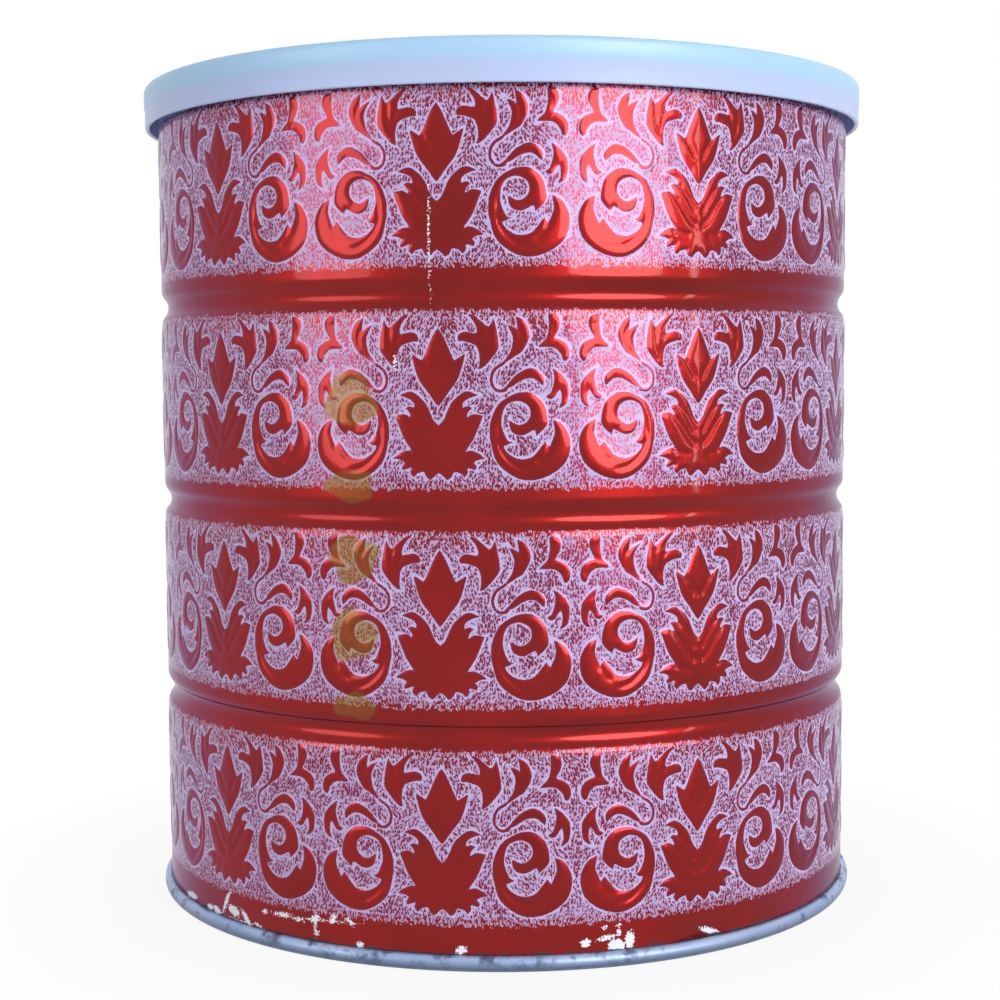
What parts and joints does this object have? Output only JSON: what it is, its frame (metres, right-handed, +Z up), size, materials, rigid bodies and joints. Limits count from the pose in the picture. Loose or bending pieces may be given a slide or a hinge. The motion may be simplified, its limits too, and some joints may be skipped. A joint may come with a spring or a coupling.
{
  "type": "coffee can",
  "caption": "Round beaded steel coffee can with a bottom double seam and a press-on plastic lid, shut.",
  "frame": {"origin": "centre of the can's foot, on the surface that it stands on", "axes": "+Z up along the can's axis; -Y towards the side that was seen"},
  "size_m": [0.16, 0.16, 0.1777],
  "materials": {
    "red_tinplate": "gloss translucent red lacquer and pale lavender ink over tinplate",
    "bare_tinplate": "dull grey tinplate with small rust specks",
    "blue_plastic": "smooth pale blue plastic"
  },
  "bodies": {
    "root": {"can_body": "red_tinplate", "bottom_end": "bare_tinplate", "lid": "blue_plastic"}
  },
  "joints": []
}
